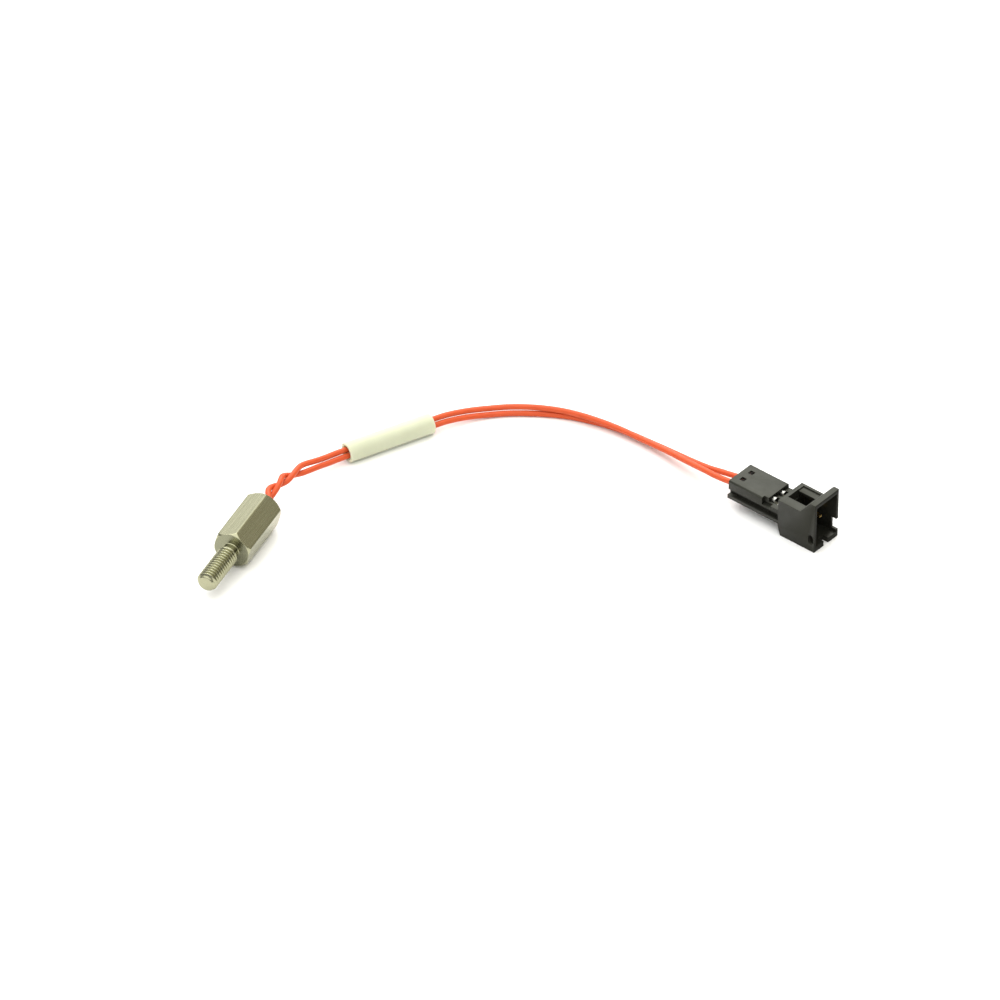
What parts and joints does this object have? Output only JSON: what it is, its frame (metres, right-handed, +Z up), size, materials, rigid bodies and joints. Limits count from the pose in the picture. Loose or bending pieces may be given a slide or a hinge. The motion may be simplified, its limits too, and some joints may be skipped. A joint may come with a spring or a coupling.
{
  "type": "stud sensing probe with lead and plug",
  "caption": "Threaded hexagon sensing probe with a twisted wire pair, a loose insulating sleeve and a shrouded in-line plug housing.",
  "frame": {"origin": "under the middle of the probe (hexagon and stud together), on the surface the assembly lies on", "axes": "+X along the stud, the way it screws in; +Z up from the resting surface; the lead leaves towards -X and curves to +Y"},
  "size_m": [0.0794, 0.1034, 0.011],
  "materials": {
    "stainless": "turned and drawn stainless bar, satin with fine machining marks",
    "potting": "cast epoxy",
    "bead": "glass coated bead",
    "tinned": "tinned copper, bright",
    "splice_tube": "insulating tubing, satin",
    "wire_insulation": "orange-red extruded insulation, satin gloss",
    "sleeve": "ivory insulating sleeving, matt",
    "housing": "moulded black nylon, fine spark texture",
    "contact": "plated stamped contact, gold on the pin and tin on the crimps"
  },
  "bodies": {
    "probe_and_lead": {"probe_body": "stainless", "potting_compound": "potting", "sensing_bead": "bead", "conductor_probe_end_a": "tinned", "conductor_probe_end_b": "tinned", "splice_joint_a": "tinned", "splice_joint_b": "tinned", "splice_tube_a": "splice_tube", "splice_tube_b": "splice_tube", "element_lead_a": "tinned", "element_lead_b": "tinned", "wire_a": "wire_insulation", "wire_b": "wire_insulation", "connector_housing": "housing", "pin_contact_a": "contact", "pin_contact_b": "contact", "conductor_plug_end_a": "tinned", "conductor_plug_end_b": "tinned"},
    "sleeve": {"wire_sleeve": "sleeve"}
  },
  "joints": [
    {"name": "sleeve_slide", "type": "slide", "parent": "probe_and_lead", "child": "sleeve", "axis": [-0.8135, 0.5816, 0], "range_m": [-0.002, 0.002]}
  ]
}
